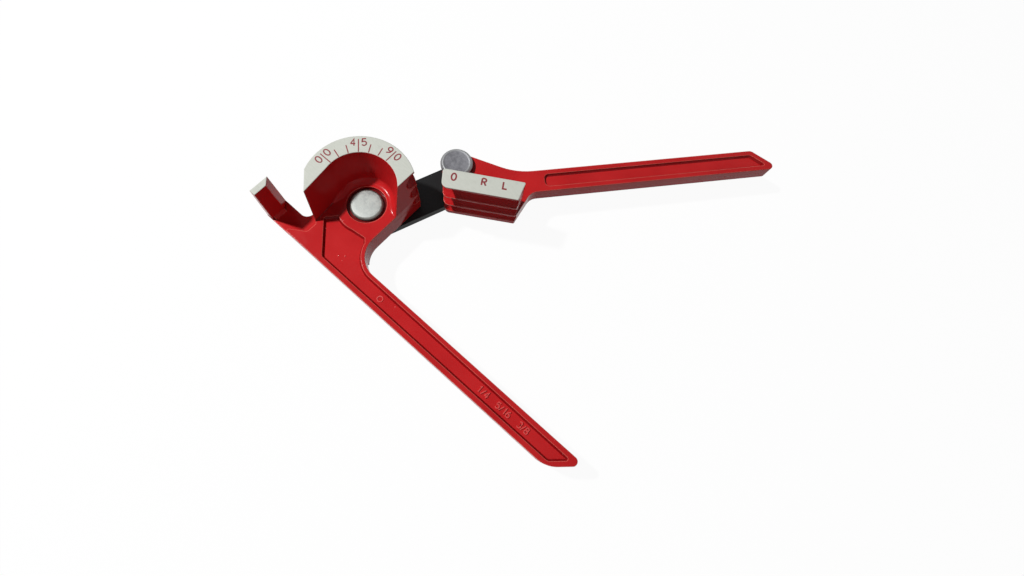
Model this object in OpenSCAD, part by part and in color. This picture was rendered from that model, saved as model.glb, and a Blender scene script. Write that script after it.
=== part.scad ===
// Lever tube bender for three tube sizes. A fixed casting carries the former, the hook and one handle.
// A second casting carries the grooved shoe and the other handle. A steel link and two rivets join them.
// The origin lies on the former's pivot axis, at the plane that the tool lies on. X runs along the former's
// handle, Y along a straight tube in the hook, and Z up out of the dial.

/* [Tubes] */
// Outside diameter of the tube in the upper groove
upper_tube_d = 9.525; // [8:0.005:10.5]
// Outside diameter of the tube in the middle groove
middle_tube_d = 7.938; // [6:0.002:9]
// Outside diameter of the tube in the lower groove
lower_tube_d = 6.35; // [4:0.05:7]
// Room between a tube and its groove, on the radius
groove_play = 0.1; // [0.06:0.02:0.2]

/* [Former] */
// Radius that the centre line of a tube is bent to
bend_r = 28.5; // [27:0.1:31]
// Reach of the former's flanges past the centre line of the tube
flange_reach = 0.8; // [0.5:0.1:1.4]
// Thickness of the flange over the upper groove
top_flange = 1.1; // [0.8:0.1:2]
// Thickness of the ribs between the grooves
groove_rib = 1; // [0.8:0.1:2]
// Thickness of the flange under the lower groove
bottom_flange = 3; // [2.5:0.1:5]
// Width of the dial face
dial_w = 9.6; // [8:0.1:10.5]
// Inward lean of the bowl wall, from the dial down to the hub
bowl_lean = 4.4; // [3:0.1:7.5]
// Turn of the bowl's straight run past the hook's side, away from the tube
bowl_turn = 6; // [0:0.5:8]
// Direction of the bowl's wall where it runs out straight towards the flat
bowl_end_angle = 50; // [40:1:60]
// Distance from the pivot axis to the flat that cuts the hub and the former off
former_flat = 17.1; // [15:0.1:18]
// Inward lean of that flat, from the hub up to the dial
flat_lean = 2.4; // [0.5:0.1:4]
// Distance from the pivot axis to the flat at the former's end beside the hook
entry_flat = 27.2; // [26:0.1:28]
// Direction of that flat from the pivot axis
entry_angle = 226; // [215:1:235]

/* [Hook] */
// Thickness of the finger at its top
finger_t = 3.5; // [3:0.1:5]
// Length of the finger along the tube
finger_len = 12.6; // [10:0.1:14]
// Bevel at the finger's end, along the tube
finger_bevel = 3.8; // [2:0.1:5]
// Room between the finger and the largest tube
finger_play = 0.15; // [0.1:0.05:0.4]
// Lean of the finger's outer sides over their height
finger_lean = 1.4; // [0.5:0.1:2.5]
// Room between the hook's floor and the smallest tube
floor_play = 0.2; // [0.1:0.05:0.5]
// Fillet at the foot of the finger
hook_gusset = 1.6; // [0.8:0.1:1.8]
// Reach of the hook's floor past the finger's end
floor_reach = 0.1; // [0.1:0.1:3]

/* [Handles] */
// Thickness of the handles, the hub and the shoe's arm
handle_t = 9; // [8:0.1:11]
// Width of each handle
handle_w = 13.4; // [12:0.1:16]
// Distance from the pivot axis to the inner edge of the former's handle
handle_drop = 26.7; // [25:0.1:28]
// Reach of the former's handle from its pivot axis
former_reach = 179; // [150:1:220]
// Reach of the shoe's handle from its pivot axis
shoe_reach = 195; // [160:1:230]
// Slant of the handle ends, along the handle
tip_slant = 15; // [10:0.5:20]
// Rounding of the long corner at each handle's end
tip_r = 2.5; // [1:0.1:3]
// Rounding of the short corner at the end of the former's handle
former_end_r = 16; // [6:0.5:17]
// Rounding of the short corner at the end of the shoe's handle
shoe_end_r = 4; // [2:0.5:8]
// Width of the rim around the sunk panels
panel_rim = 2.8; // [2:0.1:3.6]
// Depth of the sunk panels on the front and the back
panel_depth = 1.7; // [1:0.1:2.4]
// Radius of the inner corner between the former's flat and its handle
neck_r = 14.7; // [12:0.1:16]
// Width of the raised ring of the hub, round the foot of the bowl
hub_ring = 1.2; // [1:0.1:4]

/* [Shoe] */
// Length of the grooved face ahead of the pivot, towards the handle
shoe_len = 37.9; // [32:0.1:42]
// Length of the grooved face behind the pivot
shoe_heel = 3; // [2:0.1:5]
// Rounding of the shoe's heel
heel_r = 3.5; // [2:0.1:4]
// Depth of the shoe block, from the grooved face to its back
shoe_depth = 10.8; // [8.5:0.1:11]
// Slant of the shoe's front end
shoe_slant = 2.6; // [1:0.1:5]
// Gap between the shoe and the former's flanges when the shoe is on the tube
shoe_gap = 0.5; // [0.4:0.1:1]
// Length of the flared lead-in at the heel of each groove
lead_len = 9; // [6:0.5:12]
// Angle of the flared lead-in
lead_angle = 18; // [8:1:22]
// Extra radius of the flared lead-in
lead_room = 0.25; // [0.15:0.05:0.35]
// Angle between the grooves and the shoe's handle
splay = 17; // [12:0.5:20]
// Distance from the shoe's pivot axis to the middle line of its handle
shoe_offset = 14.5; // [13:0.1:16]

/* [Pivots] */
// Distance between the two pivot axes
link_len = 55.5; // [53:0.1:60]
// Width of the link
link_w = 22.8; // [20:0.1:24]
// Shift of the link's middle line off the pivot axes, towards the handles
link_shift = 2.4; // [0:0.1:3]
// Reach of the link past each pivot axis
link_end = 10.5; // [9.5:0.1:12]
// Rounding of the link's corners
link_corner_r = 8; // [4:0.1:9]
// Thickness of the link
link_t = 4.8; // [4:0.1:6]
// Diameter of the rivet shanks
shank_d = 10; // [8:0.1:11]
// Running clearance of a shank in its bore, on the radius
shank_play = 0.05; // [0.03:0.01:0.08]
// Diameter of the rivet heads
head_d = 18.4; // [15:0.1:20]
// Height of the rivet heads
head_t = 2.6; // [1.8:0.1:3]
// Rounding of the rivet heads' rims
head_round = 1.5; // [0.6:0.1:1.6]
// Depth of the machined seat of the former's rivet head
seat_depth = 1.8; // [0.5:0.1:2]
// Room around the rivet head in that seat
seat_room = 1.8; // [0.5:0.1:2]
// Rise of the shoe's boss over its arm
boss_rise = 1.5; // [0.5:0.1:3]
// Radius of the thick part of the casting behind the hub
hub_boss_r = 31; // [20:0.1:34]
// Wall of the shoe's boss around its bore
boss_wall = 3.65; // [3:0.05:5]
// Height of the bosses on the backs of the castings
boss_h = 4; // [1:0.1:5]
// Outer diameter of the thrust washers between the castings and the link
thrust_washer_d = 17; // [15:0.1:18]
// Thickness of the thrust washers
thrust_washer_t = 0.8; // [0.5:0.1:1.5]
// Outer diameter of the washers under the rivet tails
tail_washer_d = 18; // [16:0.1:19]
// Thickness of the washers under the rivet tails
tail_washer_t = 1.2; // [0.8:0.1:2]
// Diameter of the upset rivet tails
tail_d = 14.5; // [12:0.1:15.5]
// Height of the upset rivet tails
tail_t = 1.6; // [1:0.1:2.5]
// Axial play on each side of a turning piece
end_play = 0.1; // [0.05:0.05:0.2]

/* [Pose] */
// Direction of the link from the former's pivot, where 180 is the dial's 0 mark
link_angle = 69.4; // [57:0.1:180]
// Angle that the shoe stands open from the tube
shoe_open = 53; // [1:0.5:120]

/* [Hidden] */

// Overlap that carries a cut clear past a face
past = 1;
// Faces on a full turn of the smooth round shapes
round_fn = 96;
// Turn of one straight step on a rounded corner, in degrees
corner_step = 5;

// Grooves from the lowest to the highest, with the height of each centre over the casting's back
tube_r = [lower_tube_d / 2, middle_tube_d / 2, upper_tube_d / 2];
groove_r = [for (r = tube_r) r + groove_play];
lower_z = bottom_flange + groove_r[0];
middle_z = lower_z + groove_r[0] + groove_rib + groove_r[1];
upper_z = middle_z + groove_r[1] + groove_rib + groove_r[2];
groove_z = [lower_z, middle_z, upper_z];
body_h = upper_z + groove_r[2] + top_flange;

// The former's round shapes
flange_r = bend_r + flange_reach;
dial_inner_r = flange_r - dial_w;
bowl_foot_r = dial_inner_r - bowl_lean;

// The hook's finger stands outside the largest tube
finger_x = -(bend_r + max(tube_r) + finger_play);
finger_back_x = finger_x - finger_t - finger_lean;
hook_floor = bottom_flange + groove_play - floor_play;

// The former's handle lies between these lines
handle_inner_y = -handle_drop;
handle_outer_y = -handle_drop - handle_w;
finger_end_y = handle_outer_y + finger_len;
web_end_y = finger_end_y + floor_reach;

// The grip's edge leans away from the largest tube, and meets the former and the hook's floor at these places
tube_inner_x = -(bend_r - max(tube_r));
grip_room = 1;
grip_lean = 11.2;
grip_step = 6;
grip_angle = 246.8;
web_angle = 222;
web_room = 3.3;

// A straight tube leaves the former along this line, from this distance past its tangent point
entry_x = -(bend_r - max(groove_r));
entry_y = -4;

// The stack of pieces on the pivots, upwards from the plane that the tool lies on
tail_washer_z = tail_t;
link_z = tail_washer_z + tail_washer_t + end_play;
thrust_washer_z = link_z + link_t;
back_z = thrust_washer_z + thrust_washer_t + end_play + boss_h;
seat_z = back_z + handle_t - seat_depth;
shoe_seat_z = back_z + handle_t + boss_rise;
bore_r = shank_d / 2 + shank_play;
seat_r = head_d / 2 + seat_room;

// The shoe in its own frame: its pivot at the origin, grooves along X, grooved face towards -Y
shoe_face_y = -(link_len - flange_r - shoe_gap);
shoe_tube_y = -(link_len - bend_r);
shoe_back_y = shoe_face_y + shoe_depth;
shoe_boss_r = bore_r + boss_wall;
shoe_pivot = polar(link_len, link_angle);
shoe_direction = link_angle - 90 + shoe_open;
strip_inner_y = -shoe_offset - handle_w / 2;
strip_outer_y = -shoe_offset + handle_w / 2;
strip_start_x = shoe_len + shoe_slant;
saddle_x = strip_start_x - handle_w / 2;
heel_lean = 1;

// Small set of one shape into the other, where two shapes of a casting join
sink = 0.05;

// Corner radii of the sunk panels at a handle's end, of the block and of the hook's floor
panel_tip_r = 1;
panel_end_r = 3;
block_r = 0.8;
web_r = 4.5;

casting_red = [0.77, 0.09, 0.11];
black_steel = [0.13, 0.13, 0.13];
plated_steel = [0.72, 0.73, 0.74];
washer_steel = [0.6, 0.6, 0.58];

function polar(r, a) = [r * cos(a), r * sin(a)];

function unit(v) = v / norm(v);

// A point given along and across the shoe's handle, in the shoe's frame
function on_strip(along, across) = [
    along * cos(splay) - across * sin(splay),
    along * sin(splay) + across * cos(splay)
];

// The points of one corner: its arc where it has a radius, tangent to both of its edges
function corner(before, at, after) =
    let (
        tip = [at.x, at.y],
        to_before = unit([before.x, before.y] - tip),
        to_after = unit([after.x, after.y] - tip),
        half = acos(to_before * to_after) / 2,
        centre = tip + unit(to_before + to_after) * at.z / sin(half),
        start = tip + to_before * at.z / tan(half) - centre,
        from = atan2(start.y, start.x),
        sweep = (180 - 2 * half) * (cross(to_before, to_after) < 0 ? 1 : -1),
        steps = max(2, ceil(abs(sweep) / corner_step))
    )
    at.z == 0 ? [tip] : [for (k = [0 : steps]) centre + polar(at.z, from + sweep * k / steps)];

// A closed outline through corners given as [x, y, radius]
function rounded(path) =
    let (n = len(path))
    [for (k = [0 : n - 1]) each corner(path[(k + n - 1) % n], path[k], path[(k + 1) % n])];

// A corner of an outline at a point, with its radius
function turn(point, r = 0) = [point.x, point.y, r];

// A flat slab with a rounded outline
module slab(path, from_z, to_z) {
    translate([0, 0, from_z])
        linear_extrude(height = to_z - from_z)
            polygon(rounded(path));
}

// A wall with its profile in X and Z, run along Y between two places
module run_along_y(profile, from_y, to_y) {
    translate([0, to_y, 0])
        rotate([90, 0, 0])
            linear_extrude(height = to_y - from_y)
                polygon(profile);
}

// The outline of a handle with a slanted end, drawn in by an inset. Its inner edge is the longer one
function strip_path(start, reach, inner_y, outer_y, inset, start_r, long_r, short_r) =
    let (
        inward = sign(outer_y - inner_y) * inset,
        width = abs(outer_y - inner_y),
        end_len = norm([tip_slant, width]),
        long_in = inset * (end_len + tip_slant) / width,
        short_in = inset * (end_len - tip_slant) / width
    )
    [
        [start, inner_y + inward, start_r],
        [reach - long_in, inner_y + inward, long_r],
        [reach - tip_slant - short_in, outer_y - inward, short_r],
        [start, outer_y - inward, start_r]
    ];

// The outline of a handle's sunk panel
function panel_path(start, reach, inner_y, outer_y) =
    strip_path(start, reach, inner_y, outer_y, panel_rim, panel_rim, panel_tip_r, panel_end_r);

module back_panel(start, reach, inner_y, outer_y) {
    slab(panel_path(start, reach, inner_y, outer_y), -past, panel_depth);
}

module front_panel(start, reach, inner_y, outer_y) {
    slab(panel_path(start, reach, inner_y, outer_y), handle_t - panel_depth, handle_t + past);
}

// The round groove that a tube is bent in, with a mouth just wide enough for the tube. It stays clear of the
// former's end past the place where a straight tube leaves it
module bend_groove(k) {
    difference() {
        translate([0, 0, groove_z[k]])
            rotate_extrude($fn = round_fn)
                translate([bend_r, 0]) {
                    circle(r = groove_r[k], $fn = round_fn);
                    translate([0, -tube_r[k] - groove_play / 2])
                        square([flange_reach + past, 2 * tube_r[k] + groove_play]);
                }
        translate([entry_x, entry_y - 2 * flange_r, -past])
            cube([-entry_x, 2 * flange_r, body_h + 2 * past]);
    }
}

// The open bowl inside the dial: a cone that runs out straight past the hook's side and towards the flat
module bowl() {
    rise = body_h - handle_t;
    top_r = dial_inner_r + bowl_lean * past / rise;
    wall_set = 2 * sink;
    rotate_extrude($fn = round_fn)
        polygon([[0, handle_t], [bowl_foot_r, handle_t], [top_r, body_h + past], [0, body_h + past]]);
    rotate([0, 0, bowl_turn])
        run_along_y([
            [wall_set - bowl_foot_r, handle_t],
            [wall_set - top_r, body_h + past],
            [flange_r, body_h + past],
            [flange_r, handle_t]
        ], -flange_r - 2 * past, 0);
    rotate([0, 0, bowl_end_angle])
        run_along_y([
            [-past, handle_t],
            [bowl_foot_r - wall_set, handle_t],
            [top_r - wall_set, body_h + past],
            [-past, body_h + past]
        ], -flange_r - 2 * past, past);
}

// What lies past the flat that cuts the hub and the former off
module past_flat() {
    lean_rate = flat_lean / (body_h - handle_t);
    run_along_y([
        [former_flat, -boss_h - past],
        [former_flat, handle_t],
        [former_flat - flat_lean - past * lean_rate, body_h + past],
        [flange_r + past, body_h + past],
        [flange_r + past, -boss_h - past]
    ], -flange_r - past, flange_r + past);
}

// The grooved former, cut off flat beside the neck and at its end beside the hook
module former() {
    difference() {
        cylinder(r = flange_r, h = body_h, $fn = round_fn);
        for (k = [0 : 2])
            bend_groove(k);
        bowl();
        past_flat();
        rotate([0, 0, entry_angle])
            translate([entry_flat, -flange_r, -past])
                cube([flange_r, 2 * flange_r, body_h + 2 * past]);
    }
}

// The hook's finger, which holds the straight end of the tube against the former
module finger() {
    side_rate = finger_lean / body_h;
    bevel_rate = finger_bevel / finger_t;
    intersection() {
        run_along_y([
            [finger_back_x, 0],
            [finger_x, 0],
            [finger_x, body_h],
            [finger_back_x + finger_lean, body_h]
        ], handle_outer_y - past, finger_end_y + past);
        translate([0, 0, -past])
            linear_extrude(height = body_h + 2 * past)
                polygon([
                    [finger_back_x - past, handle_outer_y - 2 * past],
                    [finger_x + past, handle_outer_y - 2 * past],
                    [finger_x + past, finger_end_y - finger_bevel - past * bevel_rate],
                    [finger_x - finger_t, finger_end_y],
                    [finger_back_x - past, finger_end_y]
                ]);
        translate([finger_back_x - 2 * past, 0, 0])
            rotate([90, 0, 90])
                linear_extrude(height = finger_t + finger_lean + 4 * past)
                    polygon([
                        [handle_outer_y + sink - past * side_rate, -past],
                        [finger_end_y + 2 * past, -past],
                        [finger_end_y + 2 * past, body_h + past],
                        [handle_outer_y + sink + finger_lean + past * side_rate, body_h + past]
                    ]);
    }
    run_along_y([
        [finger_x - past, hook_floor - past],
        [finger_x + hook_gusset, hook_floor - past],
        [finger_x + hook_gusset, hook_floor],
        [finger_x, hook_floor + hook_gusset],
        [finger_x - past, hook_floor + hook_gusset]
    ], handle_outer_y + finger_lean, finger_end_y - finger_bevel);
}

// The low floor that joins the hook's finger to the former and the handle
module hook_web() {
    slab([
        [finger_back_x, handle_outer_y, web_r / 4],
        [0, handle_outer_y, 0],
        [0, web_end_y, 0],
        turn(polar(entry_flat - past, web_angle)),
        [tube_inner_x + web_room, web_end_y, web_r],
        [finger_back_x, web_end_y, web_r / 2]
    ], 0, hook_floor);
}

// The outline of the former's handle with its neck, up to the tube's path through the hook
function grip_path() =
    let (end = strip_path(0, former_reach, handle_inner_y, handle_outer_y, 0, 0, tip_r, former_end_r))
    [
        [0, 0, 0],
        turn(polar(flange_r, grip_angle)),
        [tube_inner_x + grip_room + grip_lean, handle_inner_y - grip_step, web_r / 2],
        [tube_inner_x + grip_room, handle_outer_y, web_r / 4],
        end[2],
        end[1],
        [former_flat, handle_inner_y, neck_r],
        [former_flat, 0, 0]
    ];

// The sunk panel on the front, which runs from the hub's ring to the handle's end
module hub_panel() {
    ring_r = bowl_foot_r + hub_ring;
    ring_from = 247;
    ring_to = 287;
    ring_step = 4;
    neck_rim = 2.2;
    neck_from = 196;
    neck_to = 268;
    shoulder_y = -14.6;
    corner_reach = flange_r - 2 * panel_rim;
    corner_angle = 241;
    foot_x = 4.6;
    neck_centre = [former_flat + neck_r, handle_inner_y + neck_r];
    end = panel_path(foot_x, former_reach, handle_inner_y, handle_outer_y);
    slab(concat(
        [for (a = [ring_from : ring_step : ring_to]) turn(polar(ring_r, a))],
        [[former_flat - neck_rim - panel_end_r / 2, shoulder_y, 0]],
        [for (a = [neck_from : ring_step : neck_to]) turn(neck_centre + polar(neck_r + neck_rim, a))],
        [
            end[1],
            end[2],
            end[3],
            turn(polar(corner_reach, corner_angle), panel_end_r / 2)
        ]
    ), handle_t - panel_depth, handle_t + past);
}

// The thick part behind the hub and under the former, flush with the flat and the neck
module hub_boss() {
    edge = 0.4;
    difference() {
        translate([0, 0, -boss_h])
            cylinder(r = flange_r - edge, h = boss_h + past, $fn = round_fn);
        past_flat();
    }
    intersection() {
        translate([0, 0, -boss_h])
            cylinder(r = hub_boss_r, h = boss_h + past, $fn = round_fn);
        slab(grip_path(), -boss_h, past);
    }
}

// A bore for a shank, through both bosses of a casting
module pivot_bore() {
    translate([0, 0, -boss_h - past])
        cylinder(r = bore_r, h = boss_h + handle_t + boss_rise + 2 * past, $fn = round_fn);
}

// The seat for the former's rivet head
module rivet_seat() {
    translate([0, 0, handle_t - seat_depth])
        cylinder(r = seat_r, h = seat_depth + past, $fn = round_fn);
}

module former_handle() {
    color(casting_red)
        translate([0, 0, back_z])
            difference() {
                union() {
                    former();
                    finger();
                    hook_web();
                    slab(grip_path(), 0, handle_t);
                    hub_boss();
                }
                hub_panel();
                back_panel(former_flat + neck_r, former_reach, handle_inner_y, handle_outer_y);
                pivot_bore();
                rivet_seat();
            }
}

// A straight groove of the shoe, flared at its heel so that a tube slides in
module shoe_groove(k) {
    groove_len = shoe_len + shoe_slant + shoe_heel + 2 * lead_len;
    translate([-shoe_heel - lead_len, shoe_tube_y, groove_z[k]])
        rotate([0, 90, 0])
            cylinder(r = groove_r[k], h = groove_len, $fn = round_fn);
    translate([lead_len - shoe_heel, shoe_tube_y, groove_z[k]])
        rotate([0, 0, -lead_angle])
            translate([-2 * lead_len, 0, 0])
                rotate([0, 90, 0])
                    cylinder(r = groove_r[k] + lead_room, h = 4 * lead_len, $fn = round_fn);
}

// The full-height grooved block
module shoe_block() {
    slab([
        [-shoe_heel - heel_lean, shoe_back_y, 2 * block_r],
        [shoe_len + shoe_slant, shoe_back_y, block_r],
        [shoe_len, shoe_face_y, block_r],
        [-shoe_heel, shoe_face_y, heel_r]
    ], 0, body_h);
}

// The low arm that joins the pivot boss and the block, with the handle
module shoe_arm() {
    end = strip_path(0, shoe_reach, strip_inner_y, strip_outer_y, 0, 0, tip_r, shoe_end_r);
    shoe_inner_r = 8;
    saddle_r = 40;
    boss_from = 79;
    boss_to = 190;
    slab([
        [sink - shoe_heel, shoe_face_y, heel_r],
        [shoe_len, shoe_face_y, block_r],
        turn(on_strip(strip_start_x, strip_inner_y), shoe_inner_r),
        turn(on_strip(end[1].x, end[1].y), end[1].z),
        turn(on_strip(end[2].x, end[2].y), end[2].z),
        turn(on_strip(saddle_x, strip_outer_y), saddle_r),
        turn(polar(shoe_boss_r - sink, boss_from)),
        turn(polar(shoe_boss_r - sink, boss_to)),
        [sink - shoe_heel - heel_lean, shoe_back_y, heel_r]
    ], 0, handle_t);
    translate([0, 0, -boss_h])
        cylinder(r = shoe_boss_r, h = boss_h + handle_t + boss_rise, $fn = round_fn);
}

module shoe_handle() {
    panel_start = strip_start_x + handle_t;
    color(casting_red)
        translate([shoe_pivot.x, shoe_pivot.y, back_z])
            rotate([0, 0, shoe_direction])
                difference() {
                    union() {
                        shoe_block();
                        shoe_arm();
                    }
                    for (k = [0 : 2])
                        shoe_groove(k);
                    rotate([0, 0, splay]) {
                        front_panel(panel_start, shoe_reach, strip_inner_y, strip_outer_y);
                        back_panel(panel_start, shoe_reach, strip_inner_y, strip_outer_y);
                    }
                    pivot_bore();
                }
}

module link_plate() {
    color(black_steel)
        translate([0, 0, link_z])
            rotate([0, 0, link_angle])
                difference() {
                    slab([
                        [-link_end, -link_w / 2 - link_shift, link_corner_r],
                        [link_len + link_end, -link_w / 2 - link_shift, link_corner_r],
                        [link_len + link_end, link_w / 2 - link_shift, link_corner_r],
                        [-link_end, link_w / 2 - link_shift, link_corner_r]
                    ], 0, link_t);
                    for (x = [0, link_len])
                        translate([x, 0, -past])
                            cylinder(r = bore_r, h = link_t + 2 * past, $fn = round_fn);
                }
}

// A rivet from the end of its tail up to its head over a seat. A raise lifts it clear of what turns on it
module rivet(raise, seat) {
    edge_r = 0.3;
    color(plated_steel)
        translate([0, 0, raise])
            rotate_extrude($fn = round_fn)
                polygon(rounded([
                    [0, 0, 0],
                    [tail_d / 2, 0, 2 * edge_r],
                    [tail_d / 2, tail_t, 0],
                    [shank_d / 2, tail_t, 0],
                    [shank_d / 2, seat, 0],
                    [head_d / 2, seat, edge_r],
                    [head_d / 2, seat + head_t, head_round],
                    [0, seat + head_t, 0]
                ]));
}

module washer(d, t) {
    color(washer_steel)
        difference() {
            cylinder(d = d, h = t, $fn = round_fn);
            translate([0, 0, -past])
                cylinder(r = bore_r, h = t + 2 * past, $fn = round_fn);
        }
}

// Places a piece on the shoe's pivot axis
module at_shoe_pivot() {
    translate(shoe_pivot)
        children();
}

module former_rivet() {
    rivet(0, seat_z);
}

module shoe_rivet() {
    at_shoe_pivot()
        rivet(end_play, shoe_seat_z);
}

module former_thrust_washer() {
    translate([0, 0, thrust_washer_z + end_play])
        washer(thrust_washer_d, thrust_washer_t);
}

module shoe_thrust_washer() {
    at_shoe_pivot()
        translate([0, 0, thrust_washer_z])
            washer(thrust_washer_d, thrust_washer_t);
}

module former_tail_washer() {
    translate([0, 0, tail_washer_z])
        washer(tail_washer_d, tail_washer_t);
}

module shoe_tail_washer() {
    at_shoe_pivot()
        translate([0, 0, tail_washer_z + end_play])
            washer(tail_washer_d, tail_washer_t);
}

former_handle();
shoe_handle();
link_plate();
former_rivet();
shoe_rivet();
former_thrust_washer();
shoe_thrust_washer();
former_tail_washer();
shoe_tail_washer();
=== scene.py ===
"""Looks of the lever tube bender: enamel, ground white faces, sloped panel walls, marks, rivets and the studio."""
import math

import bmesh
import bpy
from mathutils import Euler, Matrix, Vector


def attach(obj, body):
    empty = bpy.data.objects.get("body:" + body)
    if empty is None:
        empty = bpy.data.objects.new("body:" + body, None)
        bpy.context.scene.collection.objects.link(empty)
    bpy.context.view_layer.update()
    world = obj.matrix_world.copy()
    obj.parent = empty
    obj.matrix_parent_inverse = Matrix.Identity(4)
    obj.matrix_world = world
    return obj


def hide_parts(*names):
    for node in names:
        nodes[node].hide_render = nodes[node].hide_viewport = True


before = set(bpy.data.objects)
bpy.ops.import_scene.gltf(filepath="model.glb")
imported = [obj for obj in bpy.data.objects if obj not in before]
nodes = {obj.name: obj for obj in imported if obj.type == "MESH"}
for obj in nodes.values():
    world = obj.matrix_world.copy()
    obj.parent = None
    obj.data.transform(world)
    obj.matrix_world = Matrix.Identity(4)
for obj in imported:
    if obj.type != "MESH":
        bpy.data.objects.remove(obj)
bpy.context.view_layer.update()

MM = 0.001

# Sizes of the part's source that the pieces here sit on, in millimetres and degrees
BACK_Z = 12.6
BODY_H = 30.513
TOP_Z = BACK_Z + BODY_H
HANDLE_T = 9.0
FACE_Z = BACK_Z + HANDLE_T
PANEL_DEPTH = 1.7
PANEL_Z = FACE_Z - PANEL_DEPTH
PARTING_Z = BACK_Z + HANDLE_T / 2
DIAL_INNER_R = 19.7
DIAL_TURN = 0.8
BOWL_LEAN = 11.5
LINK_LEN = 55.5
LINK_ANGLE = 69.4
LINK_T = 4.8
SHOE_OPEN = 53
SHOE_TURN = LINK_ANGLE - 90 + SHOE_OPEN
FORMER_PIVOT = (0.0, 0.0)
SHOE_PIVOT = (
    LINK_LEN * math.cos(math.radians(LINK_ANGLE)),
    LINK_LEN * math.sin(math.radians(LINK_ANGLE)),
)
FORMER_SEAT_DEPTH = 1.8
FORMER_SEAT_Z = FACE_Z - FORMER_SEAT_DEPTH
SHOE_BOSS_H = 1.5
SHOE_SEAT_Z = FACE_Z + SHOE_BOSS_H
SEAT_R = 11.0
SHANK_R = 5.0
BORE_R = 5.05
HEAD_R = 9.2
HEAD_T = 2.6
TAIL_R = 7.25
TAIL_T = 1.6
TAIL_WASHER_R = 9.0
TAIL_WASHER_T = 1.2
THRUST_WASHER_R = 8.5
THRUST_WASHER_T = 0.8
END_PLAY = 0.1
THRUST_Z = TAIL_T + TAIL_WASHER_T + END_PLAY + LINK_T

# Steps round a turned piece, rays of the edge nodes, and the least share that a mitred corner is divided by
ROUND_STEPS = 128
EDGE_SAMPLES = 6
SHARPEST_MITRE = 0.45

# How far a piece that stands on a face reaches into it
SUNK = 0.3


# Node helpers for the procedural materials
class Shader:
    def __init__(self, name):
        self.material = bpy.data.materials.new(name)
        self.material.use_nodes = True
        self.tree = self.material.node_tree
        self.surface = self.tree.nodes["Principled BSDF"]
        self.soft = None

    def add(self, kind, inputs=None, **settings):
        made = self.tree.nodes.new(kind)
        for key, value in settings.items():
            setattr(made, key, value)
        for key, value in (inputs or {}).items():
            self.give(made.inputs[key], value)
        return made

    def give(self, socket, value):
        if isinstance(value, bpy.types.NodeSocket):
            self.tree.links.new(value, socket)
        else:
            socket.default_value = value

    def set(self, **values):
        for key, value in values.items():
            self.give(self.surface.inputs[key.replace("_", " ")], value)

    def place(self):
        return self.add("ShaderNodeTexCoord").outputs["Object"]

    def math(self, operation, a, b=0.0, clamp=False):
        made = self.add("ShaderNodeMath", operation=operation, use_clamp=clamp)
        self.give(made.inputs[0], a)
        self.give(made.inputs[1], b)
        return made.outputs[0]

    def noise(self, scale, detail=3.0, rough=0.5, vector=None):
        made = self.add("ShaderNodeTexNoise", {"Scale": scale, "Detail": detail, "Roughness": rough})
        self.give(made.inputs["Vector"], vector or self.place())
        return made.outputs["Fac"]

    def ramp(self, value, low, high, to_low=0.0, to_high=1.0):
        made = self.add("ShaderNodeMapRange", {
            "Value": value, "From Min": low, "From Max": high, "To Min": to_low, "To Max": to_high,
        })
        return made.outputs["Result"]

    def mix(self, share, a, b):
        """A mix of two colours."""
        made = self.add("ShaderNodeMix", data_type="RGBA")
        self.give(made.inputs["Factor"], share)
        self.give(made.inputs[6], a)
        self.give(made.inputs[7], b)
        return made.outputs[2]

    def blend(self, share, a, b):
        """A mix of two numbers."""
        made = self.add("ShaderNodeMix", data_type="FLOAT")
        self.give(made.inputs["Factor"], share)
        self.give(made.inputs[2], a)
        self.give(made.inputs[3], b)
        return made.outputs[0]

    def from_axis(self, place):
        """Distance of a place from the upright axis through the origin."""
        flat = self.add("ShaderNodeVectorMath", {0: place, 1: (1.0, 1.0, 0.0)}, operation="MULTIPLY")
        return self.add("ShaderNodeVectorMath", {0: flat.outputs["Vector"]}, operation="LENGTH").outputs["Value"]

    def edges(self, radius, reach):
        """How much a place is on an outer edge, and how much it is in a hollow, each from 0 to 1."""
        self.soft = self.add("ShaderNodeBevel", {"Radius": radius}, samples=EDGE_SAMPLES).outputs["Normal"]
        plain = self.add("ShaderNodeNewGeometry").outputs["Normal"]
        same = self.add("ShaderNodeVectorMath", {0: self.soft, 1: plain}, operation="DOT_PRODUCT").outputs["Value"]
        hidden = self.add(
            "ShaderNodeAmbientOcclusion", {"Distance": reach}, samples=EDGE_SAMPLES, only_local=True)
        open_sky = hidden.outputs["AO"]
        outer = self.math("MULTIPLY", self.math("SUBTRACT", 1.0, same), self.ramp(open_sky, 0.8, 0.95))
        return outer, self.math("SUBTRACT", 1.0, open_sky)

    def bump(self, height, distance):
        made = self.add("ShaderNodeBump", {"Height": height, "Distance": distance, "Strength": 1.0})
        if self.soft:
            self.give(made.inputs["Normal"], self.soft)
        self.give(self.surface.inputs["Normal"], made.outputs["Normal"])


def srgb(r, g, b):
    """A colour as seen on screen, 0 to 255, as the linear colour that a shader takes."""
    def linear(c):
        c /= 255
        return c / 12.92 if c <= 0.04045 else ((c + 0.055) / 1.055) ** 2.4
    return (linear(r), linear(g), linear(b), 1.0)


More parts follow.
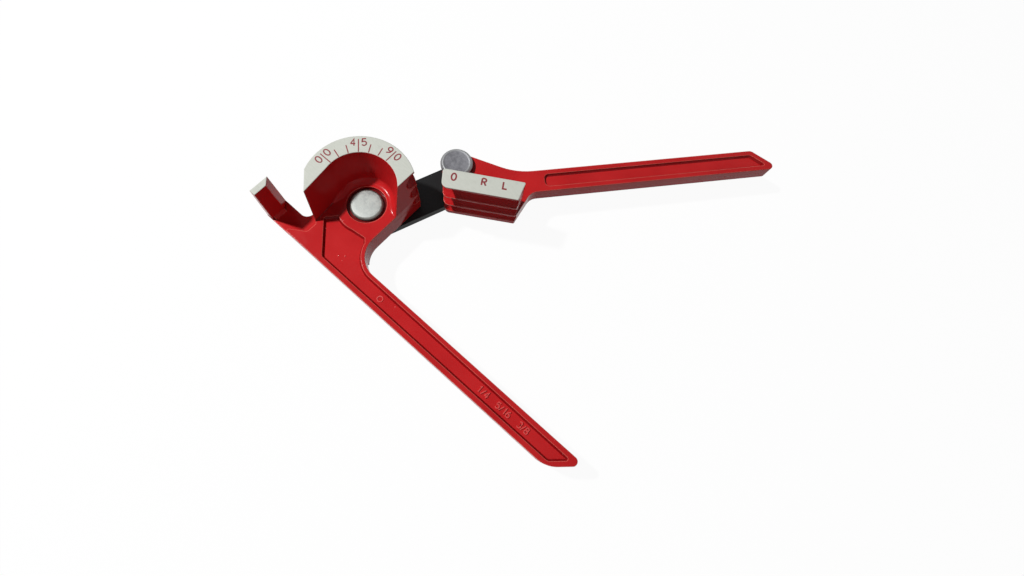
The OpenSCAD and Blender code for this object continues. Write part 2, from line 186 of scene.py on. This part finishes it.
# Colours of the enamel, the ground faces and the metals, dark tone first where there are two
WHITE = (1.0, 1.0, 1.0, 1.0)
CAST_RED = srgb(186, 29, 32), srgb(197, 36, 38)
# A darker red for the sloped panel walls, which is painted shade along the panels' edges
SHADED_WALL_RED = srgb(140, 14, 19), srgb(152, 20, 24)
# A lighter red for raised letters and beads, which is a painted highlight
HIGHLIT_RAISED_RED = srgb(204, 44, 44), srgb(222, 78, 72)
# Pale pink for outer edges, which is a painted highlight, and dark red for hollows and corners, which is painted
# shade
EDGE_HIGHLIGHT_RED = srgb(234, 116, 104)
HOLLOW_SHADE_RED = srgb(88, 8, 12)
SEAT_RED = srgb(62, 12, 14)
SPECK_RED = srgb(228, 96, 88)
CHALK = srgb(203, 206, 196), srgb(215, 217, 208)
CHALK_STAIN = srgb(176, 178, 170)
MARK_RED = srgb(104, 20, 26), srgb(146, 38, 44)
STEEL_BLACK = srgb(17, 17, 18), srgb(25, 25, 26)
STEEL_WORN = srgb(54, 54, 54)
BRIGHT_STEEL = srgb(126, 129, 127), srgb(160, 164, 160)
# A darker rim for the former's rivet, which is painted shade
BRIGHT_RIM_SHADE = srgb(120, 119, 115)
GREY_STEEL = srgb(90, 90, 94), srgb(116, 116, 120)
# A lighter rim for the shoe's rivet, which is a painted reflection
GREY_RIM_REFLECTION = srgb(132, 133, 134)
WASHER_STEEL = srgb(150, 150, 146), srgb(190, 190, 184)


def casting_enamel(name, tones, edge_light_and_shade=False):
    """Glossy red enamel over a casting, with the ground top faces left pale. It may have a painted highlight along
    its outer edges and painted shade in its hollows.
    """
    s = Shader(name)
    place = s.place()
    apart = s.add("ShaderNodeSeparateXYZ", {"Vector": place})
    facing = s.add("ShaderNodeSeparateXYZ", {"Vector": s.add("ShaderNodeTexCoord").outputs["Normal"]})
    ragged = s.math("MULTIPLY", s.math("SUBTRACT", s.noise(900.0, 2.0), 0.5), 0.16 * MM)
    height = s.math("ADD", apart.outputs["Z"], ragged)
    high = s.ramp(height, (TOP_Z - 0.42) * MM, (TOP_Z - 0.34) * MM)
    upward = s.ramp(facing.outputs["Z"], 0.35, 0.45)
    pale = s.math("MULTIPLY", high, upward, clamp=True)

    cloudy = s.noise(45.0, 4.0)
    red = s.mix(s.ramp(cloudy, 0.35, 0.65), *tones)
    if edge_light_and_shade:
        # A painted highlight along outer edges and painted shade in hollows and corners
        edge, hollow = s.edges(0.8 * MM, 1.4 * MM)
        red = s.mix(s.ramp(edge, 0.02, 0.12, 0.0, 0.85), red, EDGE_HIGHLIGHT_RED)
        red = s.mix(s.ramp(hollow, 0.12, 0.45, 0.0, 0.8), red, HOLLOW_SHADE_RED)

    # The seat of the former's rivet lies in its own shade
    inside = s.ramp(s.from_axis(place), SEAT_R * MM, (SEAT_R - 0.2) * MM)
    below = s.ramp(apart.outputs["Z"], (FACE_Z - 0.1) * MM, (FACE_Z - 0.6) * MM)
    in_seat = s.math("MULTIPLY", inside, below, clamp=True)
    red = s.mix(s.math("MULTIPLY", in_seat, 0.75), red, SEAT_RED)
    speck = s.ramp(s.noise(1700.0, 1.0), 0.76, 0.8, 0.0, 0.3)
    red = s.mix(speck, red, SPECK_RED)

    drawn = s.add("ShaderNodeMapping", {"Vector": place, "Scale": (1.0, 9.0, 1.0)})
    grain = s.noise(520.0, 3.0, 0.6, drawn.outputs["Vector"])
    chalk = s.mix(s.ramp(grain, 0.3, 0.7), *CHALK)
    chalk = s.mix(s.ramp(s.noise(160.0, 4.0), 0.62, 0.8, 0.0, 0.35), chalk, CHALK_STAIN)

    s.set(Base_Color=s.mix(pale, red, chalk))
    gloss = s.ramp(s.noise(130.0, 3.0), 0.3, 0.7, 0.13, 0.22)
    s.set(Roughness=s.blend(pale, gloss, 0.42))
    s.set(Specular_IOR_Level=0.08)

    # Orange peel, and the parting line round upright faces
    peel = s.math("ADD", s.math("MULTIPLY", s.noise(420.0, 2.0), 0.3), s.math("MULTIPLY", s.noise(95.0, 2.0), 1.2))
    off_line = s.math("ABSOLUTE", s.math("SUBTRACT", apart.outputs["Z"], PARTING_Z * MM))
    parted = s.ramp(off_line, 0.28 * MM, 0.1 * MM)
    upright = s.ramp(s.math("ABSOLUTE", facing.outputs["Z"]), 0.5, 0.3)
    peel = s.math("ADD", peel, s.math("MULTIPLY", s.math("MULTIPLY", parted, upright), 1.6))
    s.bump(s.blend(pale, peel, s.math("MULTIPLY", grain, 0.25)), 0.09 * MM)
    return s.material


def enamel_lettering():
    """A lighter red enamel for what stands up from a panel, which is a painted highlight."""
    s = Shader("red_enamel_raised_highlit")
    cloudy = s.noise(300.0, 3.0)
    s.set(Base_Color=s.mix(cloudy, *HIGHLIT_RAISED_RED))
    s.set(Roughness=s.ramp(cloudy, 0.3, 0.7, 0.16, 0.26))
    s.bump(s.noise(700.0, 2.0), 0.05 * MM)
    return s.material


def mark_paint():
    """Thin dark red paint in the marks."""
    s = Shader("mark_paint")
    patchy = s.noise(1300.0, 3.0)
    s.set(Base_Color=s.mix(s.ramp(patchy, 0.35, 0.7), *MARK_RED))
    s.set(Roughness=s.ramp(patchy, 0.3, 0.7, 0.45, 0.6))
    s.bump(patchy, 0.03 * MM)
    return s.material


def blackened_steel():
    """Black finish on rolled steel, a little worn along its edges."""
    s = Shader("black_steel")
    cloudy = s.noise(70.0, 5.0, 0.6)
    black = s.mix(s.ramp(cloudy, 0.35, 0.65), *STEEL_BLACK)
    edge = s.edges(0.5 * MM, 1.2 * MM)[0]
    patchy = s.ramp(s.noise(260.0, 4.0), 0.4, 0.6, 0.2, 0.8)
    worn = s.math("MULTIPLY", s.ramp(edge, 0.03, 0.2), patchy, clamp=True)
    s.set(Base_Color=s.mix(worn, black, STEEL_WORN))
    s.set(Roughness=s.ramp(cloudy, 0.3, 0.7, 0.42, 0.55))
    s.set(Specular_IOR_Level=0.12)
    s.bump(s.noise(650.0, 4.0, 0.65), 0.06 * MM)
    return s.material


def turned_steel(name, tones, centre, rough_low, rough_high, rim=None, rim_r=0.0):
    """Plated steel with faint turning rings round its axis. It may have a rim in a tone of its own, which is
    painted shade or a painted reflection as given.
    """
    s = Shader(name)
    moved = s.add("ShaderNodeMapping", {"Vector": s.place(), "Location": (-centre[0] * MM, -centre[1] * MM, 0.0)})
    away = s.from_axis(moved.outputs["Vector"])
    uneven = s.math("ADD", away, s.math("MULTIPLY", s.noise(220.0), 0.3 * MM))
    rings = s.math("SINE", s.math("MULTIPLY", uneven, 9000.0))
    cloudy = s.noise(420.0, 5.0, 0.65)
    tone = s.math("ADD", s.math("MULTIPLY", rings, 0.08), cloudy)
    colour = s.mix(s.ramp(tone, 0.36, 0.64), *tones)
    # The rim's own tone is painted shade or a painted reflection on the rim
    if rim:
        colour = s.mix(s.ramp(away, (rim_r - 0.25) * MM, (rim_r + 0.25) * MM), colour, rim)
    s.set(Base_Color=colour)
    s.set(Metallic=1.0)
    s.set(Roughness=s.ramp(cloudy, 0.3, 0.7, rough_low, rough_high))
    s.bump(s.math("ADD", s.math("MULTIPLY", rings, 0.25), s.noise(900.0, 3.0)), 0.02 * MM)
    return s.material


# The handles' enamel has painted highlights on its outer edges and painted shade in its hollows
RED = casting_enamel("red_enamel", CAST_RED, edge_light_and_shade=True)
RED_SOFT = casting_enamel("red_enamel_soft", CAST_RED)
# Darker enamel for the panel walls, which is painted shade
RED_SHADED_WALL = casting_enamel("red_enamel_shaded_wall", SHADED_WALL_RED)
RED_RAISED_HIGHLIT = enamel_lettering()
PAINT = mark_paint()
BLACK = blackened_steel()
# The former's rivet has a darker rim, which is painted shade, and the shoe's rivet a lighter rim, which is a
# painted reflection
BRIGHT = turned_steel("plated_steel", BRIGHT_STEEL, FORMER_PIVOT, 0.5, 0.7, BRIGHT_RIM_SHADE, HEAD_R - 1.0)
GREY = turned_steel("grey_steel", GREY_STEEL, SHOE_PIVOT, 0.5, 0.68, GREY_RIM_REFLECTION, HEAD_R - 1.9)
WASHER = turned_steel("washer_steel", WASHER_STEEL, FORMER_PIVOT, 0.3, 0.45)


def finish_node(node, material):
    """A better material on a CAD node that keeps its own shape."""
    made = nodes[node]
    made.data.materials.clear()
    made.data.materials.append(material)


finish_node("former_handle", RED)
finish_node("shoe_handle", RED)
finish_node("link_plate", BLACK)


def piece(name, body, material, bm):
    """A finished mesh in the row frame, riding on a body."""
    mesh = bpy.data.meshes.new(name)
    bmesh.ops.recalc_face_normals(bm, faces=bm.faces)
    bm.to_mesh(mesh)
    bm.free()
    mesh.materials.append(material)
    made = bpy.data.objects.new(name, mesh)
    bpy.context.scene.collection.objects.link(made)
    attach(made, body)
    return made


def smooth_by_angle(made, degrees):
    """Smooth shading that keeps edges sharper than an angle."""
    bm = bmesh.new()
    bm.from_mesh(made.data)
    for face in bm.faces:
        face.smooth = True
    for edge in bm.edges:
        edge.smooth = len(edge.link_faces) == 2 and edge.calc_face_angle() < math.radians(degrees)
    bm.to_mesh(made.data)
    bm.free()


def arc(centre, radius, start, end, steps):
    """Points on an arc, as (along, up) pairs."""
    return [
        (centre[0] + radius * math.cos(math.radians(start + (end - start) * k / steps)),
         centre[1] + radius * math.sin(math.radians(start + (end - start) * k / steps)))
        for k in range(steps + 1)
    ]


def lathe(profile, centre):
    """A closed round solid from (radius, height) pairs in millimetres. It may start and end on the axis."""
    bm = bmesh.new()
    rings = []
    for radius, height in profile:
        if radius < 1e-6:
            rings.append([bm.verts.new((centre[0] * MM, centre[1] * MM, height * MM))])
            continue
        rings.append([
            bm.verts.new((
                (centre[0] + radius * math.cos(2 * math.pi * k / ROUND_STEPS)) * MM,
                (centre[1] + radius * math.sin(2 * math.pi * k / ROUND_STEPS)) * MM,
                height * MM,
            ))
            for k in range(ROUND_STEPS)
        ])
    pairs = list(zip(rings, rings[1:]))
    if len(rings[0]) > 1:
        pairs.append((rings[-1], rings[0]))
    for low, high in pairs:
        for k in range(ROUND_STEPS):
            n = (k + 1) % ROUND_STEPS
            corners = [low[k % len(low)], low[n % len(low)], high[n % len(high)], high[k % len(high)]]
            bm.faces.new(list(dict.fromkeys(corners)))
    return bm


# Roundings and broken edges of the rivets and washers
TAIL_ROUND = 0.6
BROKEN_EDGE = 0.15
HEAD_FOOT_ROUND = 0.3
DOME_ROUND = 1.5


def rivet(node, body, material, centre, raised, seat, head):
    """A rivet with its upset tail. The head's own profile closes it."""
    tail = arc((TAIL_R - TAIL_ROUND, raised + TAIL_ROUND), TAIL_ROUND, -90, 0, 6)
    foot = [(0.0, raised + 0.12), (4.2, raised + 0.1), (5.2, raised)]
    neck = [
        (TAIL_R, raised + TAIL_T - BROKEN_EDGE),
        (TAIL_R - BROKEN_EDGE, raised + TAIL_T),
        (SHANK_R, raised + TAIL_T),
    ]
    under = [(SHANK_R, seat), (HEAD_R - HEAD_FOOT_ROUND, seat)]
    made = piece(
        node + "_turned", body, material, lathe(foot + tail + neck + under + head(seat), centre))
    smooth_by_angle(made, 35)
    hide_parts(node)


def head_foot(z):
    """The rounded lower edge of a head."""
    return arc((HEAD_R - HEAD_FOOT_ROUND, z + HEAD_FOOT_ROUND), HEAD_FOOT_ROUND, -90, 0, 4)[1:]


def domed_head(z):
    """A head with a rounded rim and a nearly flat top."""
    top = z + HEAD_T
    rim = arc((HEAD_R - DOME_ROUND, top - DOME_ROUND), DOME_ROUND, 0, 82, 10)
    return head_foot(z) + rim + [(5.4, top + 0.02), (3.0, top + 0.05), (0.0, top + 0.06)]


def dished_head(z):
    """A head with a bevelled rim round a shallow dish."""
    top = z + HEAD_T
    outside = [
        (HEAD_R, top - 1.45),
        (HEAD_R - 0.2, top - 1.15),
        (HEAD_R - 1.0, top - 0.2),
        (HEAD_R - 1.25, top - 0.05),
    ]
    inside = [
        (HEAD_R - 1.5, top),
        (HEAD_R - 1.75, top - 0.06),
        (HEAD_R - 2.1, top - 0.28),
        (HEAD_R - 2.5, top - 0.34),
    ]
    return head_foot(z) + outside + inside + [(3.0, top - 0.32), (0.0, top - 0.3)]


rivet("former_rivet", "former_arm", BRIGHT, FORMER_PIVOT, 0.0, FORMER_SEAT_Z, domed_head)
rivet("shoe_rivet", "link", GREY, SHOE_PIVOT, END_PLAY, SHOE_SEAT_Z + END_PLAY, dished_head)


def washer(node, body, centre, low, thick, outer):
    """A flat washer with its rims broken."""
    rim = BROKEN_EDGE
    profile = [
        (BORE_R + rim, low), (outer - rim, low), (outer, low + rim), (outer, low + thick - rim),
        (outer - rim, low + thick), (BORE_R + rim, low + thick), (BORE_R, low + thick - rim), (BORE_R, low + rim),
    ]
    made = piece(node + "_turned", body, WASHER, lathe(profile, centre))
    smooth_by_angle(made, 30)
    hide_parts(node)


washer("former_tail_washer", "former_arm", FORMER_PIVOT, TAIL_T, TAIL_WASHER_T, TAIL_WASHER_R)
washer("shoe_tail_washer", "link", SHOE_PIVOT, TAIL_T + END_PLAY, TAIL_WASHER_T, TAIL_WASHER_R)
washer("former_thrust_washer", "former_arm", FORMER_PIVOT, THRUST_Z + END_PLAY, THRUST_WASHER_T, THRUST_WASHER_R)
washer("shoe_thrust_washer", "link", SHOE_PIVOT, THRUST_Z, THRUST_WASHER_T, THRUST_WASHER_R)


def polar(radius, angle):
    return Vector((radius * math.cos(math.radians(angle)), radius * math.sin(math.radians(angle))))


def mitres(points, closed):
    """For each point of a line, the way to its left and the share that a step that way is divided by."""
    count = len(points)
    found = []
    for k in range(count):
        ways = []
        if closed or k > 0:
            ways.append((points[k] - points[k - 1]).normalized())
        if closed or k < count - 1:
            ways.append((points[(k + 1) % count] - points[k]).normalized())
        across = [Vector((-w.y, w.x)) for w in ways]
        mean = sum(across, Vector((0.0, 0.0))).normalized()
        found.append((mean, max(SHARPEST_MITRE, mean.dot(across[0]))))
    return found


def foot_lines(node, level):
    """Closed lines where walls rise from a node's flat face at a level, with the face on their left."""
    flat_z = 0.9999
    bm = bmesh.new()
    bm.from_mesh(nodes[node].data)
    bmesh.ops.remove_doubles(bm, verts=bm.verts, dist=1e-7)
    after = {}
    for edge in bm.edges:
        for flat, wall in (edge.link_faces, reversed(edge.link_faces)):
            middle = flat.calc_center_median()
            if flat.normal.z < flat_z or abs(middle.z - level * MM) > 1e-5:
                continue
            if wall.normal.z > flat_z or wall.calc_center_median().z < level * MM:
                continue
            a, b = edge.verts
            if (b.co - a.co).cross(middle - a.co).z < 0:
                a, b = b, a
            after[a] = b
    lines = []
    while after:
        here = next(iter(after))
        points = []
        while here in after:
            points.append((here.co.x / MM, here.co.y / MM))
            here = after.pop(here)
        lines.append(points)
    bm.free()
    return lines


def moulding(bm, points, section, level, sizes=None):
    """A solid strip on the left of a line, from a section of (aside, up) pairs. With sizes, the line is open."""
    closed = sizes is None
    points = [Vector(p) for p in points]
    count = len(points)
    rows = []
    for k, (mean, narrow) in enumerate(mitres(points, closed)):
        size = 1.0 if closed else sizes[k]
        step = mean * size / narrow
        rows.append([
            bm.verts.new((
                (points[k].x + step.x * aside) * MM,
                (points[k].y + step.y * aside) * MM,
                (level + up * size) * MM,
            ))
            for aside, up in section
        ])
    for k in range(count if closed else count - 1):
        one, two = rows[k], rows[(k + 1) % count]
        for j in range(len(section)):
            i = (j + 1) % len(section)
            bm.faces.new((one[j], one[i], two[i], two[j]))
    if not closed:
        bm.faces.new(rows[0])
        bm.faces.new(rows[-1])


def panel_fillet(node, body):
    """The sloped wall of a handle's sunk panel, in a darker red that is painted shade."""
    slope = [(0.0, 1.3), (0.3, 0.85), (0.6, 0.42), (0.8, 0.17), (0.95, 0.03)]
    section = [(-SUNK, -SUNK), (-SUNK, 1.2)] + slope + [(0.95, -SUNK)]
    bm = bmesh.new()
    for points in foot_lines(node, PANEL_Z):
        moulding(bm, points, section, PANEL_Z)
    made = piece(node + "_panel_fillet", body, RED_SHADED_WALL, bm)
    smooth_by_angle(made, 40)


# The line of the bowl's foot: a round back between two straight runs, each from end to end as the line goes
BOWL_FOOT_R = 15.32
BOWL_RIGHT = Vector((17.10, 5.49)), Vector((11.13, 10.53))
BOWL_LEFT = Vector((-14.94, -3.30)), Vector((-12.59, -25.66))


def bowl_fillet():
    """The soft foot of the former's bowl, which runs out at both ends."""
    run, rise, behind, steps = 3.4, 2.6, 1.2, 12
    lean = math.tan(math.radians(BOWL_LEAN))
    curve = []
    for k in range(steps + 1):
        turn = math.radians(90 * k / steps)
        up = rise * (1 - math.sin(turn))
        curve.append((run * (1 - math.cos(turn)) - up * lean, up))
    swell = (0.08, 0.25), (0.2, 0.5), (0.35, 0.75), (0.5, 0.92), (0.7, 1.0)
    fade = (0.06, 1.0), (0.14, 0.92), (0.22, 0.75), (0.3, 0.5), (0.38, 0.25)
    line = [(BOWL_RIGHT[0].lerp(BOWL_RIGHT[1], t), size) for t, size in swell]
    line += [(polar(BOWL_FOOT_R, angle), 1.0) for angle in range(44, 193, 4)]
    line += [(BOWL_LEFT[0].lerp(BOWL_LEFT[1], t), size) for t, size in fade]
    section = [(-behind, -SUNK), (-behind, rise - 0.1)] + curve + [(run, -SUNK)]
    bm = bmesh.new()
    moulding(bm, [tuple(p) for p, size in line], section, FACE_Z, [size for p, size in line])
    made = piece("bowl_fillet", "former_arm", RED_SOFT, bm)
    smooth_by_angle(made, 40)


panel_fillet("former_handle", "former_arm")
panel_fillet("shoe_handle", "shoe_arm")
bowl_fillet()


# Strokes of the plain numerals and letters, in a box one unit high with its middle at 0
def ring(width, height, middle=0.0, start=0, end=360, steps=28):
    return [
        (width / 2 * math.cos(math.radians(start + (end - start) * k / steps)),
         middle + height / 2 * math.sin(math.radians(start + (end - start) * k / steps)))
        for k in range(steps + 1)
    ]


R_BOWL = [(0.02 + x, y) for x, y in ring(0.52, 0.5, 0.25, 90, -90, 14)]
GLYPHS = {
    "0": [ring(0.62, 1.0)],
    "1": [[(-0.16, 0.3), (0.02, 0.5), (0.02, -0.5)]],
    "3": [ring(0.56, 0.48, 0.26, 150, -90) + ring(0.62, 0.52, -0.24, 90, -150)],
    "4": [[(0.14, -0.5), (0.14, 0.5), (-0.3, -0.18)], [(-0.3, -0.18), (0.32, -0.18)]],
    "5": [[(0.26, 0.5), (-0.2, 0.5), (-0.25, 0.06)] + ring(0.6, 0.62, -0.19, 125, -150)],
    "6": [ring(0.6, 0.56, -0.22, 90, 450), [(-0.3, -0.2), (-0.24, 0.18), (0.14, 0.5)]],
    "8": [ring(0.5, 0.46, 0.27), ring(0.62, 0.54, -0.23)],
    "9": [ring(0.6, 0.56, 0.22, -90, 270), [(0.3, 0.2), (0.24, -0.18), (-0.14, -0.5)]],
    "/": [[(-0.2, -0.5), (0.2, 0.5)]],
    "R": [
        [(-0.27, -0.5), (-0.27, 0.5)],
        [(-0.27, 0.5)] + R_BOWL + [(-0.27, 0.0)],
        [(0.0, 0.0), (0.3, -0.5)],
    ],
    "L": [[(-0.24, 0.5), (-0.24, -0.5), (0.3, -0.5)]],
}

# Strokes that cross lie at heights of their own
STROKE_STEP = 0.012


def ribbon(bm, line, width, low, high):
    """A flat closed ribbon along a line of points, with mitred corners."""
    closed = (Vector(line[0]) - Vector(line[-1])).length < 1e-6
    points = [Vector(p) for p in (line[:-1] if closed else line)]
    count = len(points)
    sides = []
    for point, (mean, narrow) in zip(points, mitres(points, closed)):
        reach = width / 2 / narrow
        sides.append((point + mean * reach, point - mean * reach))
    loops = [[bm.verts.new((p.x * MM, p.y * MM, z * MM)) for p in (a, b) for z in (low, high)] for a, b in sides]
    for k in range(count if closed else count - 1):
        one, two = loops[k], loops[(k + 1) % count]
        for a, b in ((1, 3), (3, 2), (2, 0), (0, 1)):
            bm.faces.new((one[a], one[b], two[b], two[a]))
    if not closed:
        for loop in (loops[0], loops[-1]):
            bm.faces.new((loop[0], loop[1], loop[3], loop[2]))


def write(bm, glyph, centre, up_angle, height, width, low, high):
    """One glyph, upright towards an angle in the row frame."""
    up = Vector((math.cos(math.radians(up_angle)), math.sin(math.radians(up_angle))))
    side = Vector((up.y, -up.x))
    for k, stroke in enumerate(GLYPHS[glyph]):
        line = [Vector(centre) + side * (x * height) + up * (y * height) for x, y in stroke]
        ribbon(bm, [tuple(p) for p in line], width, low + k * STROKE_STEP, high + k * STROKE_STEP)


# Painted marks on the ground faces
MARK_LOW = TOP_Z - SUNK
MARK_HIGH = TOP_Z + 0.03
MARK_H = 4.0


def dial_marks():
    """Angle marks and numerals on the former's dial, read from outside the dial."""
    long_end, short_end, line_width = 27.5, 24.9, 0.6
    numeral_r, numeral_aside, stroke_width = 25.6, 2.9, 0.72
    bm = bmesh.new()
    numerals = {180: "00", 135: "45", 90: "90"}
    for angle in range(90, 181, 15):
        end = long_end if angle in numerals else short_end
        place = angle + DIAL_TURN
        line = [tuple(polar(DIAL_INNER_R + 0.25, place)), tuple(polar(end, place))]
        ribbon(bm, line, line_width, MARK_LOW, MARK_HIGH)
    for angle, pair in numerals.items():
        place = angle + DIAL_TURN
        across = polar(1.0, place + 90)
        for glyph, aside in zip(pair, (numeral_aside, -numeral_aside)):
            centre = polar(numeral_r, place) + across * aside
            write(bm, glyph, centre, place, MARK_H, stroke_width, MARK_LOW, MARK_HIGH)
    piece("dial_marks", "former_arm", PAINT, bm)


def on_shoe(along, across):
    """A place given along and across the shoe from its pivot, in the row frame."""
    turn = math.radians(SHOE_TURN)
    return Vector((
        SHOE_PIVOT[0] + along * math.cos(turn) - across * math.sin(turn),
        SHOE_PIVOT[1] + along * math.sin(turn) + across * math.cos(turn),
    ))


def shoe_marks():
    """The marks on the shoe's ground face that are set against the dial."""
    middle, stroke_width = -18.8, 0.9
    bm = bmesh.new()
    for glyph, along in (("0", 2.5), ("R", 18.5), ("L", 29.7)):
        write(bm, glyph, on_shoe(along, middle), SHOE_TURN + 90, MARK_H, stroke_width, MARK_LOW, MARK_HIGH)
    piece("shoe_marks", "shoe_arm", PAINT, bm)


def size_numerals():
    """Raised tube sizes on the panel of the former's handle."""
    line_y, pitch, height, stroke_width, proud = -33.2, 2.3, 3.2, 0.6, 0.6
    bm = bmesh.new()
    for size, middle in (("1/4", 116.7), ("5/16", 130.1), ("3/8", 143.5)):
        start = middle - pitch * (len(size) - 1) / 2
        for k, glyph in enumerate(size):
            centre = (start + k * pitch, line_y)
            write(bm, glyph, centre, 90, height, stroke_width, PANEL_Z - SUNK, PANEL_Z + proud)
    piece("size_numerals", "former_arm", RED_RAISED_HIGHLIT, bm)


def cast_marks():
    """A ring left by an ejector pin, and a few small beads of enamel."""
    ring_x, ring_y, ring_r, ring_width, proud = 43.4, -33.3, 1.5, 0.5, 0.28
    bead_flat = 0.6
    beads = (
        (12.6, -28.8, 0.55),
        (9.8, -31.2, 0.4),
        (13.4, -31.6, 0.35),
        (-6.6, -24.6, 0.45),
        (52.4, -31.2, 0.4),
    )
    bm = bmesh.new()
    circle = [(ring_x + ring_r * x, ring_y + ring_r * y) for x, y in ring(2.0, 2.0)]
    ribbon(bm, circle, ring_width, PANEL_Z - SUNK, PANEL_Z + proud)
    for x, y, radius in beads:
        bead = bmesh.ops.create_uvsphere(bm, u_segments=16, v_segments=10, radius=radius * MM)["verts"]
        bmesh.ops.scale(bm, vec=(1.0, 1.0, bead_flat), verts=bead)
        bmesh.ops.translate(bm, vec=(x * MM, y * MM, PANEL_Z * MM), verts=bead)
    # The ring and beads take the lighter red, which is a painted highlight
    made = piece("cast_marks", "former_arm", RED_RAISED_HIGHLIT, bm)
    smooth_by_angle(made, 40)


dial_marks()
shoe_marks()
size_numerals()
cast_marks()

# Floor: white to the camera and to mirrors, with the object's shadow kept
FLOOR_HALF = 4.0
FLOOR_DROP = 0.0002
FLOOR_GREY = (0.4, 0.4, 0.4, 1.0)
FLOOR_SHINE = 0.95
floor_shader = Shader("floor_white")
rays = floor_shader.add("ShaderNodeLightPath")
seen = floor_shader.math("MAXIMUM", rays.outputs["Is Camera Ray"], rays.outputs["Is Glossy Ray"])
seen = floor_shader.math("MAXIMUM", seen, rays.outputs["Is Transmission Ray"])
pale = floor_shader.mix(seen, FLOOR_GREY, WHITE)
matt = floor_shader.add("ShaderNodeBsdfDiffuse", {"Color": pale})
shine = floor_shader.add("ShaderNodeEmission", {"Color": WHITE, "Strength": 1.0})
share = floor_shader.math("MULTIPLY", seen, FLOOR_SHINE)
both = floor_shader.add("ShaderNodeMixShader", {0: share, 1: matt.outputs[0], 2: shine.outputs[0]})
out = floor_shader.tree.nodes["Material Output"]
floor_shader.tree.links.new(both.outputs[0], out.inputs["Surface"])

bm = bmesh.new()
bmesh.ops.create_grid(bm, x_segments=1, y_segments=1, size=FLOOR_HALF)
floor_mesh = bpy.data.meshes.new("floor")
bm.to_mesh(floor_mesh)
bm.free()
floor_mesh.materials.append(floor_shader.material)
floor = bpy.data.objects.new("floor", floor_mesh)
floor.location.z = -FLOOR_DROP
bpy.context.scene.collection.objects.link(floor)

# World: white where it is seen or mirrored, a low even light elsewhere
WORLD_LIGHT = 0.035
world = bpy.data.worlds.new("studio")
bpy.context.scene.world = world
world.use_nodes = True
tree = world.node_tree
path = tree.nodes.new("ShaderNodeLightPath")
most = path.outputs["Is Camera Ray"]
for name in ("Is Glossy Ray", "Is Transmission Ray"):
    either = tree.nodes.new("ShaderNodeMath")
    either.operation = "MAXIMUM"
    tree.links.new(most, either.inputs[0])
    tree.links.new(path.outputs[name], either.inputs[1])
    most = either.outputs[0]
level = tree.nodes.new("ShaderNodeMapRange")
level.inputs["To Min"].default_value = WORLD_LIGHT
level.inputs["To Max"].default_value = 1.0
tree.links.new(most, level.inputs["Value"])
tree.links.new(level.outputs["Result"], tree.nodes["Background"].inputs["Strength"])
tree.nodes["Background"].inputs["Color"].default_value = WHITE


def lamp(name, aim, azimuth, elevation, distance, size, watts):
    """A square lamp that looks at a place from a direction in the row frame, in metres and degrees."""
    flat = distance * math.cos(math.radians(elevation))
    aim = Vector(aim)
    at = aim + Vector((
        flat * math.cos(math.radians(azimuth)),
        flat * math.sin(math.radians(azimuth)),
        distance * math.sin(math.radians(elevation)),
    ))
    data = bpy.data.lights.new(name, "AREA")
    data.shape = "SQUARE"
    data.size = size
    data.energy = watts
    made = bpy.data.objects.new(name, data)
    made.location = at
    made.rotation_euler = (aim - at).to_track_quat("-Z", "Y").to_euler()
    bpy.context.scene.collection.objects.link(made)


lamp("key_light", (-0.02, -0.02, 0.03), azimuth=200.0, elevation=58.0, distance=1.25, size=0.07, watts=16.0)
lamp("fill_light", (0.05, 0.03, 0.03), azimuth=330.0, elevation=40.0, distance=0.9, size=0.5, watts=0.8)

# Camera at the photograph's place, for a frame of 1024 by 576 pixels
FRAME_WIDTH_PX = 1024.0
FOCAL_PX = 500.0
SENSOR_WIDTH = 36.0
CAMERA_PLACE = (0.125693, -0.05317, 0.280097)
CAMERA_TURN = (16.383, -4.607, 41.0)
camera_data = bpy.data.cameras.new("camera")
camera_data.sensor_width = SENSOR_WIDTH
camera_data.lens = SENSOR_WIDTH * FOCAL_PX / FRAME_WIDTH_PX
camera_data.clip_start = 0.005
camera_data.clip_end = 50.0
camera = bpy.data.objects.new("camera", camera_data)
camera.location = CAMERA_PLACE
camera.rotation_euler = Euler([math.radians(a) for a in CAMERA_TURN], "XYZ")
bpy.context.scene.collection.objects.link(camera)
bpy.context.scene.camera = camera
bpy.context.scene.view_settings.view_transform = "Standard"

bpy.context.view_layer.update()
